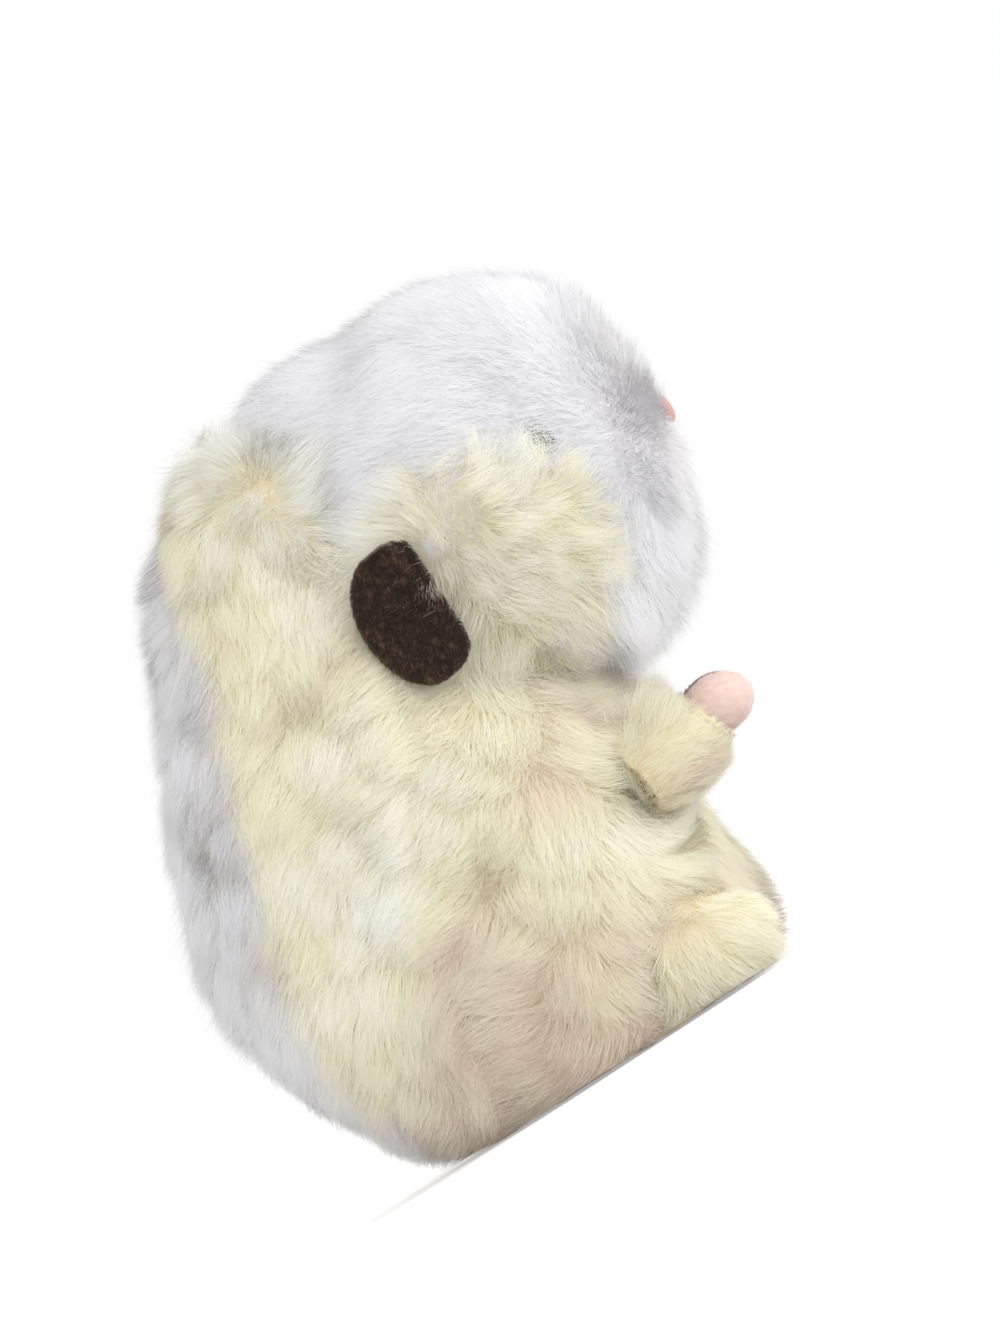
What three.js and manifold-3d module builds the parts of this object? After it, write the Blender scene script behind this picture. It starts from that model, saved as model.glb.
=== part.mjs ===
// Plush guinea pig that sits upright on a flat base. Millimetres, Z up.
// The toy faces -Y and its left side is +X, so a place is given as side, forward and up.
import * as THREE from "three";
import { mergeVertices } from "three/addons/utils/BufferGeometryUtils.js";
import Module from "manifold-3d";

const wasm = await Module();
wasm.setup();

// Cloth and seams
const bodyPile = 5;
const limbPile = 4;
const seamGap = 0.3;
const swingGap = 0.6;

// Torso: level sections from the base to the nape, each with its reach behind, ahead and to the side
const torsoSections = [
  { up: 0, back: 47, front: 44, side: 42 },
  { up: 8, back: 60, front: 47, side: 50 },
  { up: 26, back: 73, front: 48, side: 57 },
  { up: 50, back: 83, front: 47, side: 60 },
  { up: 75, back: 84, front: 48, side: 59 },
  { up: 100, back: 79, front: 38, side: 55 },
  { up: 125, back: 66, front: 26, side: 49 },
  { up: 150, back: 51, front: 20, side: 42 },
  { up: 172, back: 38, front: 17, side: 37 },
  { up: 187, back: 25, front: 11, side: 30 },
  { up: 196, back: 12, front: 2, side: 16 },
];
const torsoAround = 30;
const torsoRings = 14;
const fillingAround = 18;
const fillingRings = 8;

// Torso panels
const gussetWidth = 78;
const gussetFoot = 9;
const gussetTip = 182;
const bellyWidth = 66;
const bellyTop = 110;
const baseHem = 3;

// Head: a puffed ball that turns about a level axis through its middle
const headForward = 48;
const headUp = 144;
const headRadius = 51;
const headWidth = 108;
const headPuff = 2.3;
const crownSwell = 6;
const crownBack = 25;
const browDip = 2.5;
const browRise = 17;
const muzzleTaper = 0.3;
const bridgeSeamDrop = 10;
const headAround = 30;
const headRings = 11;
const neckOpening = 52;

// Back of the head, which bulges over the nape up to a seam that leaves the head room to nod back
const occiputBack = 28;
const occiputRise = 32;
const occiputLength = 72;
const occiputHeight = 53;
const occiputWidth = 62;
const napeTurn = 43;
const nodBack = 4;
const napeClearance = 1.5;

// Cheek patches, placed from the middle of the head
const cheekBack = 12.5;
const cheekDrop = 14;
const cheekLength = 64;
const cheekHeight = 55;
const cheekInnerSide = 8;

// Eyes and their washers, placed from the middle of the head
const eyeAhead = 19;
const eyeRise = 6;
const eyeDiameter = 10;
const eyeDome = 4;
const eyeSeatDepth = 3.4;
const eyeStemDiameter = 3;
const eyeStemLength = 9;
const eyeWasherDiameter = 12;
const eyeWasherThickness = 1.4;

// Stitched nose
const noseDrop = 5;
const noseWidth = 11;
const noseHeight = 8;
const noseThickness = 2;
const noseSink = 1.2;

// Ears: two layers sewn along the front edge, which is behind the middle of the head
const earLength = 39;
const earWidth = 24;
const earLayer = 2;
const earCorner = 9;
const earBack = 26;
const earRise = 5;
const earClearance = 2.5;
const earBow = 1.5;

// Arms and paws
const armSide = 36;
const armForward = 44;
const armUp = 61;
const armLength = 15;
const armRise = 2;
const shoulderRadius = 13.5;
const wristRadius = 11;
const armSwing = 15;
const pawAhead = 8;
const pawRise = 3;
const pawLength = 19;
const pawWidth = 15;

// Hind legs, which lie forward on the ground
const legSide = 38;
const legForward = 24;
const legLength = 10;
const hipRadius = 16.5;
const toeRadius = 13.5;
const legLift = 12;
const restFlat = 0.5;

const limbAround = 14;
const limbRings = 3;
const stuffingAround = 10;
const stuffingRings = 2;
const eyeAround = 12;
const discAround = 24;

const fur = { roughness: 0.95, metalness: 0 };
const cream = { color: 0xf0e6cc, ...fur };
const white = { color: 0xf2f0f4, ...fur };
const brown = { color: 0x3a261d, roughness: 0.9, metalness: 0 };
const pink = { color: 0xf0cfc6, roughness: 0.85, metalness: 0 };
const fibre = { color: 0xf7f6f2, roughness: 1, metalness: 0 };
const blackPlastic = { color: 0x0d0b0b, roughness: 0.12, metalness: 0 };
const clearPlastic = { color: 0xd8d8d6, roughness: 0.4, metalness: 0 };

const xAxis = new THREE.Vector3(1, 0, 0);
const sides = [
  { name: "right", sign: -1 },
  { name: "left", sign: 1 },
];
const headCentre = place(0, headForward, headUp);
const sceneReach = 2 * torsoSections.at(-1).up;

function place(side, forward, up) {
  return new THREE.Vector3(side, -forward, up);
}

// A closed geometry as a solid, with its corners merged and its flattened triangles left out
function solidOf(geometry, matrix = new THREE.Matrix4()) {
  const loose = geometry.index ? geometry.toNonIndexed() : geometry;
  const bare = new THREE.BufferGeometry();
  bare.setAttribute("position", loose.getAttribute("position").clone());
  bare.applyMatrix4(matrix);
  const merged = mergeVertices(bare, 1e-4);
  const corners = merged.index.array;
  const kept = [];
  for (let i = 0; i < corners.length; i += 3) {
    const [a, b, c] = corners.subarray(i, i + 3);
    if (a !== b && b !== c && c !== a) kept.push(a, b, c);
  }
  const vertProperties = merged.attributes.position.array;
  const triVerts = new Uint32Array(kept);
  return new wasm.Manifold(new wasm.Mesh({ numProp: 3, vertProperties, triVerts }));
}

function meshOf(name, solid, finish) {
  const made = solid.getMesh();
  const geometry = new THREE.BufferGeometry();
  geometry.setAttribute("position", new THREE.BufferAttribute(made.vertProperties, 3));
  geometry.setIndex(new THREE.BufferAttribute(made.triVerts, 1));
  geometry.computeVertexNormals();
  const mesh = new THREE.Mesh(geometry, new THREE.MeshStandardMaterial(finish));
  mesh.name = name;
  return mesh;
}

function joined(solids) {
  return solids.reduce((whole, solid) => whole.add(solid));
}

// A closed skin over rings of points, with a middle point at each end
function skinOver(rings, firstEnd, lastEnd) {
  const around = rings[0].length;
  const points = [firstEnd, ...rings.flat(), lastEnd];
  const last = points.length - 1;
  const corner = (ring, step) => 1 + ring * around + (step % around);
  const index = [];
  for (let step = 0; step < around; step++) {
    index.push(0, corner(0, step + 1), corner(0, step));
    index.push(last, corner(rings.length - 1, step), corner(rings.length - 1, step + 1));
    for (let ring = 0; ring + 1 < rings.length; ring++) {
      const [a, b] = [corner(ring, step), corner(ring, step + 1)];
      const [c, d] = [corner(ring + 1, step + 1), corner(ring + 1, step)];
      index.push(a, b, c, a, c, d);
    }
  }
  return new THREE.BufferGeometry().setFromPoints(points).setIndex(index);
}

// Torso form
const reachCurve = smoothCurve((s) => new THREE.Vector3(s.back, s.front, s.up));
const sideCurve = smoothCurve((s) => new THREE.Vector3(s.side, 0, s.up));

function smoothCurve(pick) {
  return new THREE.CatmullRomCurve3(torsoSections.map(pick), false, "catmullrom", 0.5);
}

function torsoSection(share) {
  const reach = reachCurve.getPoint(share);
  const depth = (reach.x + reach.y) / 2;
  return { up: reach.z, middle: reach.y - depth, depth, side: sideCurve.getPoint(share).x };
}

function torsoForm(inset, around, ringCount) {
  const top = torsoSections.at(-1).up;
  const squeeze = (top - 2 * inset) / top;
  const heightOf = (up) => inset + up * squeeze;
  const rings = [];
  for (let ring = 0; ring < ringCount; ring++) {
    const section = torsoSection(ring / (ringCount - 1));
    const [depth, side] = [section.depth, section.side].map((size) => Math.max(size - inset, 1));
    const points = [];
    for (let step = 0; step < around; step++) {
      const turn = (2 * Math.PI * step) / around;
      const forward = section.middle - depth * Math.sin(turn);
      points.push(place(side * Math.cos(turn), forward, heightOf(section.up)));
    }
    rings.push(points);
  }
  const foot = torsoSection(0);
  const nape = torsoSection(1);
  const footEnd = place(0, foot.middle, heightOf(foot.up));
  const napeEnd = place(0, nape.middle, heightOf(nape.up) + seamGap);
  return skinOver(rings, footEnd, napeEnd);
}

// How far out the flank is at a place, by halving the stretch of the torso that holds that height
function flankSide(forward, up) {
  let [low, high] = [0, 1];
  for (let halving = 0; halving < 30; halving++) {
    const share = (low + high) / 2;
    if (torsoSection(share).up < up) low = share;
    else high = share;
  }
  const section = torsoSection(low);
  const off = (forward - section.middle) / section.depth;
  return section.side * Math.sqrt(Math.max(1 - off * off, 0));
}

// Head form: lean runs from one cheek to the other, turn runs from straight ahead upwards
function headPoint(lean, turn, grow, plain = false) {
  const round = 2 / headPuff;
  const radius = (headRadius + grow) * Math.sin(lean) ** round;
  const side = -Math.sign(Math.cos(lean)) * (headWidth / 2 + grow) * Math.abs(Math.cos(lean)) ** round;
  const middle = Math.sin(lean) ** 2;
  const swell = plain ? 0 : middle * headSwell(THREE.MathUtils.radToDeg(turn));
  const ahead = plain ? 0 : Math.max(Math.cos(turn), 0) * Math.sin(lean);
  const forward = (radius + swell) * Math.cos(turn);
  const up = (radius + swell) * Math.sin(turn);
  return place(side * (1 - muzzleTaper * ahead * ahead), forward, up).add(headCentre);
}

// The crown stands proud from the brow to a little behind the top, and the bridge of the nose dips
function headSwell(turn) {
  const rise = THREE.MathUtils.smoothstep(turn, browRise, browRise + crownBack);
  const fall = 1 - THREE.MathUtils.smoothstep(turn, 90, 90 + crownBack);
  const dip = Math.max(0, 1 - Math.abs(turn - browRise) / crownBack);
  return crownSwell * rise * fall - browDip * dip * dip;
}

function headForm(grow, around, ringCount, plain = false) {
  const rings = [];
  for (let ring = 1; ring < ringCount; ring++) {
    const lean = (Math.PI * ring) / ringCount;
    const points = [];
    for (let step = 0; step < around; step++) {
      const turn = (2 * Math.PI * step) / around;
      const signed = turn > Math.PI ? turn - 2 * Math.PI : turn;
      points.push(headPoint(lean, signed, grow, plain));
    }
    rings.push(points.reverse());
  }
  const reach = new THREE.Vector3(headWidth / 2 + grow, 0, 0);
  return skinOver(rings, headCentre.clone().sub(reach), headCentre.clone().add(reach));
}

// Everything ahead of a plane that leans back from upright over the middle of the head
function aheadOfNape(lean, grow) {
  const turn = THREE.MathUtils.degToRad(lean);
  const ahead = place(0, Math.cos(turn), Math.sin(turn));
  return halfSpace(headCentre.clone().addScaledVector(ahead, -grow), ahead);
}

// The whole head: the ball and the occiput that bulges from its back
function headBody(grow, around, ringCount) {
  const bulge = new THREE.SphereGeometry(1, around, ringCount);
  const sizes = [occiputWidth, occiputLength, occiputHeight];
  bulge.rotateX(Math.PI / 2).scale(...sizes.map((size) => size / 2 + grow));
  const at = place(0, -occiputBack, occiputRise).add(headCentre);
  const occiput = solidOf(bulge, new THREE.Matrix4().setPosition(at));
  const ball = solidOf(headForm(grow, around, ringCount));
  return ball.add(occiput.intersect(aheadOfNape(napeTurn, grow)));
}

// A place on the head's cover with the direction that faces out of it there
function headSeat(lean, turn) {
  const step = 0.01;
  const at = headPoint(lean, turn, 0);
  const across = headPoint(lean + step, turn, 0).sub(at);
  const along = headPoint(lean, turn + step, 0).sub(at);
  const out = across.cross(along).normalize();
  return { at, out };
}

// Limb form: a root ball and an end ball with a straight taper between them
function limbForm(root, end, rootRadius, endRadius, around = limbAround, rings = limbRings) {
  const along = end.clone().sub(root);
  const length = along.length();
  const slope = Math.asin((rootRadius - endRadius) / length);
  const profile = [];
  for (let step = 0; step <= 2 * rings; step++) {
    const turn = -Math.PI / 2 + ((Math.PI / 2 + slope) * step) / (2 * rings);
    profile.push(arcPoint(0, rootRadius, turn, step === 0));
  }
  for (let step = 0; step <= rings; step++) {
    const turn = slope + ((Math.PI / 2 - slope) * step) / rings;
    profile.push(arcPoint(length, endRadius, turn, step === rings));
  }
  const upright = new THREE.Vector3(0, 1, 0);
  const turned = new THREE.Quaternion().setFromUnitVectors(upright, along.normalize());
  const matrix = new THREE.Matrix4().compose(root, turned, new THREE.Vector3(1, 1, 1));
  return solidOf(new THREE.LatheGeometry(profile, around), matrix);
}

function arcPoint(centre, radius, turn, onAxis) {
  const out = onAxis ? 0 : radius * Math.cos(turn);
  return new THREE.Vector2(out, centre + radius * Math.sin(turn));
}

// A box between two corners, for cutting
function block(low, high) {
  const size = high.clone().sub(low);
  const middle = low.clone().add(high).multiplyScalar(0.5);
  const matrix = new THREE.Matrix4().setPosition(middle);
  return solidOf(new THREE.BoxGeometry(size.x, size.y, size.z), matrix);
}

// Everything on one side of a plane through a point
function halfSpace(point, out) {
  const turned = new THREE.Quaternion().setFromUnitVectors(new THREE.Vector3(0, 0, 1), out);
  const matrix = new THREE.Matrix4().compose(point, turned, new THREE.Vector3(1, 1, 1));
  const box = new THREE.BoxGeometry(2 * sceneReach, 2 * sceneReach, sceneReach);
  return solidOf(box.translate(0, 0, sceneReach / 2), matrix);
}

// An outline drawn as seen from the front, cut through the torso ahead of its middle or behind it
function throughTorso(outline, direction) {
  const geometry = new THREE.ExtrudeGeometry(outline, { depth: sceneReach, bevelEnabled: false });
  geometry.rotateX(Math.PI / 2);
  const waist = torsoSection(0.4).middle;
  geometry.translate(0, direction > 0 ? -waist : sceneReach - waist, 0);
  return solidOf(geometry);
}

// The room that a limb takes up as it swings: its root ball, flared to where its end ball may be
function swingRoom(root, end, rootRadius, endRadius, swing) {
  const travel = 2 * root.distanceTo(end) * Math.sin(THREE.MathUtils.degToRad(swing) / 2);
  return limbForm(root, end, rootRadius + swingGap, endRadius + travel + swingGap);
}

// Limbs of both sides
const legUp = hipRadius - restFlat;
const toeUp = toeRadius - restFlat;
const ground = block(place(-sceneReach, sceneReach, -sceneReach), place(sceneReach, -sceneReach, 0));
const limbs = sides.map(({ name, sign }) => {
  const shoulder = place(sign * armSide, armForward, armUp);
  const wrist = place(sign * armSide, armForward + armLength, armUp + armRise);
  const hip = place(sign * legSide, legForward, legUp);
  const toe = place(sign * legSide, legForward + legLength, toeUp);
  const pawAt = wrist.clone().add(place(0, pawAhead, pawRise));
  const room = [
    swingRoom(shoulder, wrist, shoulderRadius, wristRadius, armSwing),
    swingRoom(hip, toe, hipRadius, toeRadius, legLift),
  ];
  return { name, shoulder, wrist, hip, toe, pawAt, room: joined(room) };
});

function pawForm(at, grow) {
  const ball = new THREE.SphereGeometry(1, limbAround, 2 * limbRings);
  ball.scale(pawWidth / 2 + grow, pawLength / 2 + grow, pawWidth / 2 + grow);
  return solidOf(ball, new THREE.Matrix4().setPosition(at));
}

// Room for the head in the torso: its plain round back, and the way of the occiput as it nods back
const headRoom = solidOf(headForm(swingGap, headAround, headRings, true));
const aboveNod = halfSpace(headCentre, new THREE.Vector3(0, 0, 1));
const napeRoom = aheadOfNape(napeTurn + nodBack + napeClearance, 0).intersect(aboveNod);
const rooms = joined([headRoom, napeRoom, ...limbs.map((limb) => limb.room)]);

// Torso cover and filling
function gussetOutline(grow) {
  const half = gussetWidth / 2 + grow;
  const [foot, tip] = [gussetFoot - grow, gussetTip + grow];
  const middle = (foot + tip) / 2;
  const waist = middle - gussetFoot;
  const [shoulder, neck] = [tip - gussetWidth / 2, tip - gussetFoot];
  const outline = new THREE.Shape().moveTo(0, foot);
  outline.bezierCurveTo(half, foot, half, middle, half, waist);
  outline.bezierCurveTo(half, shoulder, half / 2, neck, 0, tip);
  outline.bezierCurveTo(-half / 2, neck, -half, shoulder, -half, waist);
  outline.bezierCurveTo(-half, middle, -half, foot, 0, foot);
  return outline;
}

function bellyOutline(grow) {
  const half = bellyWidth / 2 + grow;
  const outline = new THREE.Shape().moveTo(-half, bodyPile + seamGap / 2);
  outline.lineTo(half, bodyPile + seamGap / 2).lineTo(half, bellyTop).lineTo(-half, bellyTop);
  return outline;
}

function basePlate(grow) {
  const foot = torsoSection(0);
  const half = [foot.side - baseHem + grow, foot.depth - baseHem + grow];
  const oval = new THREE.Shape().absellipse(0, -foot.middle, half[0], half[1], 0, 2 * Math.PI);
  const depth = bodyPile + 1 + grow;
  const plate = new THREE.ExtrudeGeometry(oval, { depth, bevelEnabled: false, curveSegments: 9 });
  return solidOf(plate.translate(0, 0, -1));
}

const torsoOuter = solidOf(torsoForm(0, torsoAround, torsoRings));
const torsoInner = solidOf(torsoForm(bodyPile, fillingAround, fillingRings));
const torsoCover = torsoOuter.subtract(torsoInner).subtract(rooms);
const halfSeam = seamGap / 2;
const backCut = (grow) => throughTorso(gussetOutline(grow), -1);
const bellyCut = (grow) => throughTorso(bellyOutline(grow), 1);
const backGusset = torsoCover.intersect(backCut(-halfSeam));
const bellyPanel = torsoCover.intersect(bellyCut(-halfSeam)).subtract(basePlate(halfSeam));
const basePanel = torsoCover.intersect(basePlate(-halfSeam));
const flanks = torsoCover.subtract(joined([backCut(halfSeam), bellyCut(halfSeam), basePlate(halfSeam)]));
const torsoFilling = solidOf(torsoForm(bodyPile + seamGap, fillingAround, fillingRings)).subtract(rooms);

const torso = new THREE.Group();
torso.add(meshOf("back_gusset", backGusset, white));
torso.add(meshOf("belly_panel", bellyPanel, cream));
torso.add(meshOf("base_panel", basePanel, cream));
torso.add(meshOf("torso_filling", torsoFilling, fibre));
for (const { name, sign } of sides) {
  const half = halfSpace(place(sign * halfSeam, 0, 0), xAxis.clone().multiplyScalar(sign));
  torso.add(meshOf("flank_" + name, flanks.intersect(half), cream));
}

// Eyes: a dome on a stem, through a seat in the cheek, held by a washer behind the cloth
const eyeTurn = Math.atan2(eyeRise, eyeAhead);
const eyeReach = Math.hypot(eyeRise, eyeAhead);
const eyeLean = Math.asin((eyeReach / headRadius) ** (headPuff / 2));
const eyes = sides.map(({ name, sign }) => {
  const { at, out } = headSeat(sign < 0 ? eyeLean : Math.PI - eyeLean, eyeTurn);
  const turned = new THREE.Quaternion().setFromUnitVectors(new THREE.Vector3(0, 1, 0), out);
  const seat = at.clone().addScaledVector(out, -eyeSeatDepth);
  return { name, seat, turned };
});

function eyeRoom({ seat, turned }) {
  const washerDepth = bodyPile + eyeStemLength;
  const profile = [
    [0, -washerDepth],
    [eyeWasherDiameter / 2 + seamGap, -washerDepth],
    [eyeWasherDiameter / 2 + seamGap, eyeSeatDepth - bodyPile - seamGap],
    [eyeStemDiameter / 2 + seamGap, eyeSeatDepth - bodyPile - seamGap],
    [eyeStemDiameter / 2 + seamGap, -seamGap],
    [eyeDiameter / 2 + seamGap, -seamGap],
    [eyeDiameter / 2 + seamGap, bodyPile],
    [0, bodyPile],
  ];
  const points = profile.map(([out, along]) => new THREE.Vector2(out, along));
  const matrix = new THREE.Matrix4().compose(seat, turned, new THREE.Vector3(1, 1, 1));
  return solidOf(new THREE.LatheGeometry(points, eyeAround), matrix);
}

// The hollow in the filling, wide enough for the washer
function eyePocket({ seat, turned }) {
  const depth = bodyPile + eyeStemLength;
  const radius = eyeWasherDiameter / 2 + seamGap;
  const pocket = new THREE.CylinderGeometry(radius, radius, depth + headRadius, eyeAround);
  pocket.translate(0, (headRadius - depth) / 2, 0);
  return solidOf(pocket, new THREE.Matrix4().compose(seat, turned, new THREE.Vector3(1, 1, 1)));
}

function eyeGeometry() {
  const points = [new THREE.Vector2(0, -eyeStemLength)];
  points.push(new THREE.Vector2(eyeStemDiameter / 2, -eyeStemLength));
  points.push(new THREE.Vector2(eyeStemDiameter / 2, 0));
  const steps = 5;
  for (let step = 0; step <= steps; step++) {
    const turn = (Math.PI / 2) * (step / steps);
    const out = step === steps ? 0 : (eyeDiameter / 2) * Math.cos(turn);
    points.push(new THREE.Vector2(out, eyeDome * Math.sin(turn)));
  }
  return new THREE.LatheGeometry(points, eyeAround);
}

function washerGeometry() {
  const [bore, rim] = [eyeStemDiameter / 2 + seamGap, eyeWasherDiameter / 2];
  const back = eyeSeatDepth - bodyPile - 3 * seamGap;
  const corners = [
    [bore, back - eyeWasherThickness],
    [rim, back - eyeWasherThickness],
    [rim, back],
    [bore, back],
    [bore, back - eyeWasherThickness],
  ];
  return new THREE.LatheGeometry(corners.map(([out, along]) => new THREE.Vector2(out, along)), eyeAround);
}

// Nose: a rounded three-cornered pad let into the muzzle
const noseSeat = headSeat(Math.PI / 2, -Math.asin(noseDrop / headRadius));

function nosePad(grow) {
  const half = noseWidth / 2 + grow;
  const [top, foot] = [noseHeight / 2 + grow, -noseHeight / 2 - grow];
  const outline = new THREE.Shape().moveTo(0, foot);
  outline.bezierCurveTo(half / 2, foot, half, top / 2, half, top / 2);
  outline.bezierCurveTo(half, top, half / 2, top, 0, top);
  outline.bezierCurveTo(-half / 2, top, -half, top, -half, top / 2);
  outline.bezierCurveTo(-half, top / 2, -half / 2, foot, 0, foot);
  const depth = noseThickness + 2 * grow;
  const pad = new THREE.ExtrudeGeometry(outline, { depth, bevelEnabled: false, curveSegments: 5 });
  pad.translate(0, 0, -noseSink - grow);
  const upright = place(0, 0, 1);
  const look = new THREE.Matrix4().lookAt(noseSeat.out, new THREE.Vector3(), upright);
  return solidOf(pad, look.setPosition(noseSeat.at));
}

// Head cover and filling
const headOuter = headBody(0, headAround, headRings);
const headInner = headBody(-bodyPile, fillingAround, fillingRings);
const neck = new THREE.CylinderGeometry(neckOpening / 2, neckOpening / 2, sceneReach, limbAround);
const neckCut = solidOf(neck.translate(0, sceneReach / 2, 0), new THREE.Matrix4().setPosition(headCentre));
const eyeCuts = joined(eyes.map(eyeRoom));
const headCover = headOuter.subtract(headInner).subtract(neckCut).subtract(eyeCuts);
const stuffedHead = headBody(-bodyPile - seamGap, fillingAround, fillingRings);
const headFilling = stuffedHead.subtract(joined(eyes.map(eyePocket)));

function cheekCut(sign, grow) {
  const disc = new THREE.CylinderGeometry(1, 1, sceneReach, discAround);
  disc.rotateZ(Math.PI / 2).scale(1, cheekLength / 2 + grow, cheekHeight / 2 + grow);
  const middle = sign * (cheekInnerSide - grow + sceneReach / 2);
  const at = place(middle, -cheekBack, -cheekDrop).add(headCentre);
  return solidOf(disc, new THREE.Matrix4().setPosition(at));
}

const cheeksOut = joined(sides.map(({ sign }) => cheekCut(sign, halfSeam)));
const whiteCover = headCover.subtract(cheeksOut);
const browTurn = THREE.MathUtils.degToRad(browRise);
const browUp = place(0, -Math.sin(browTurn), Math.cos(browTurn));
const bridgeSeam = place(0, 0, -bridgeSeamDrop).add(headCentre);
const overBridge = halfSpace(bridgeSeam.clone().addScaledVector(browUp, halfSeam), browUp);
const underBridge = halfSpace(bridgeSeam.clone().addScaledVector(browUp, -halfSeam), browUp.clone().negate());

const head = new THREE.Group();
head.add(meshOf("crown_panel", whiteCover.intersect(overBridge), white));
head.add(meshOf("muzzle_panel", whiteCover.intersect(underBridge).subtract(nosePad(seamGap)), white));
head.add(meshOf("head_filling", headFilling, fibre));
head.add(meshOf("nose", nosePad(0), pink));
for (const { name, sign } of sides) {
  head.add(meshOf("cheek_" + name, headCover.intersect(cheekCut(sign, -halfSeam)), cream));
}
for (const { name, seat, turned } of eyes) {
  const pieces = [
    ["eye_" + name, eyeGeometry(), blackPlastic],
    ["eye_washer_" + name, washerGeometry(), clearPlastic],
  ];
  for (const [pieceName, geometry, finish] of pieces) {
    const piece = new THREE.Mesh(geometry, new THREE.MeshStandardMaterial(finish));
    piece.name = pieceName;
    piece.position.copy(seat);
    piece.quaternion.copy(turned);
    head.add(piece);
  }
}

// Ears: the straight front edge is the seam, and the rest is rounded
function earLayerSolid(outward, isOuter) {
  const outline = new THREE.Shape().moveTo(0, -earCorner / 2);
  outline.quadraticCurveTo(0, 0, earCorner, 0);
  outline.bezierCurveTo(earWidth - earCorner / 2, 0, earWidth, -earLength / 4, earWidth, -earLength / 2);
  outline.bezierCurveTo(earWidth, -earLength * 0.8, earWidth * 0.75, -earLength, earWidth / 2, -earLength);
  outline.quadraticCurveTo(0, -earLength, 0, earCorner - earLength);
  const options = { depth: earLayer, bevelEnabled: false, curveSegments: 6 };
  const layer = new THREE.ExtrudeGeometry(outline, options);
  const onTop = outward > 0 === isOuter;
  layer.translate(0, 0, onTop ? halfSeam : -earLayer - halfSeam);
  const points = layer.attributes.position;
  for (let i = 0; i < points.count; i++) {
    const share = points.getX(i) / earWidth;
    points.setZ(i, points.getZ(i) + outward * earBow * 4 * share * (1 - share));
  }
  return solidOf(layer);
}

// The ear's plane clears the head at the seam and the flank at its free edge, near its lower end
const earHem = earLayer + halfSeam;
const earSeamOff = Math.hypot(earBack, earCorner - earRise) / headRadius;
const earSeamHead = (headWidth / 2) * (1 - earSeamOff ** headPuff) ** (1 / headPuff);
const earSeamSide = earSeamHead + earHem + swingGap;
const earForward = headForward - earBack;
const earUp = headUp + earRise;
const earFlank = flankSide(earForward - earWidth, earUp - earLength + earCorner);
const earRearSide = earFlank + earHem + earClearance;
for (const { name, sign } of sides) {
  const seam = place(sign * earSeamSide, earForward, earUp);
  const back = place(sign * (earRearSide - earSeamSide), -earWidth, 0).normalize();
  const up = place(0, 0, 1);
  const facing = new THREE.Matrix4().makeBasis(back, up, back.clone().cross(up)).setPosition(seam);
  for (const layer of ["outer", "inner"]) {
    const mesh = meshOf("ear_" + name + "_" + layer, earLayerSolid(sign, layer === "outer"), brown);
    mesh.applyMatrix4(facing);
    head.add(mesh);
  }
}

// Sleeves, paws and legs
function sleeve(root, end, rootRadius, endRadius) {
  const along = end.clone().sub(root).normalize();
  const mouth = root.clone().addScaledVector(along, -rootRadius / 2);
  const openEnd = halfSpace(mouth, along.negate());
  const hollow = limbPile;
  const stuffed = limbPile + seamGap;
  const form = (inset) =>
    limbForm(root, end, rootRadius - inset, endRadius - inset, stuffingAround, stuffingRings);
  return {
    cover: limbForm(root, end, rootRadius, endRadius).subtract(form(hollow)).subtract(openEnd),
    filling: form(stuffed).subtract(openEnd),
  };
}

const toy = new THREE.Group();
toy.add(torso, head);
for (const { name, shoulder, wrist, hip, toe, pawAt } of limbs) {
  const arm = sleeve(shoulder, wrist, shoulderRadius, wristRadius);
  const leg = sleeve(hip, toe, hipRadius, toeRadius);
  const pawRoom = pawForm(pawAt, seamGap);
  toy.add(meshOf("arm_" + name, arm.cover.subtract(pawRoom), cream));
  toy.add(meshOf("arm_filling_" + name, arm.filling.subtract(pawRoom), fibre));
  toy.add(meshOf("paw_" + name, pawForm(pawAt, 0), pink));
  toy.add(meshOf("leg_" + name, leg.cover.subtract(ground), cream));
  toy.add(meshOf("leg_filling_" + name, leg.filling, fibre));
}

export default toy;
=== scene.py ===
# %% [markdown]
# # A plush guinea pig
# The toy sits upright on a flat base. It is sewn from long-pile plush: cream on the flanks, white on the
# back and the face, and a puff of the longest pile on each cheek. The ears are short-nap cloth, the paws
# are velour and the eyes are glossy domes. Nearly all that shows is pile, so the lesson is about growing it.
# Lengths are in metres. The toy looks along -Y, its right side is at -X, and Z is up.

import math

import bmesh
import bpy
import numpy as np
from mathutils import Matrix, Vector
from mathutils.bvhtree import BVHTree
from mathutils.kdtree import KDTree


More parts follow.
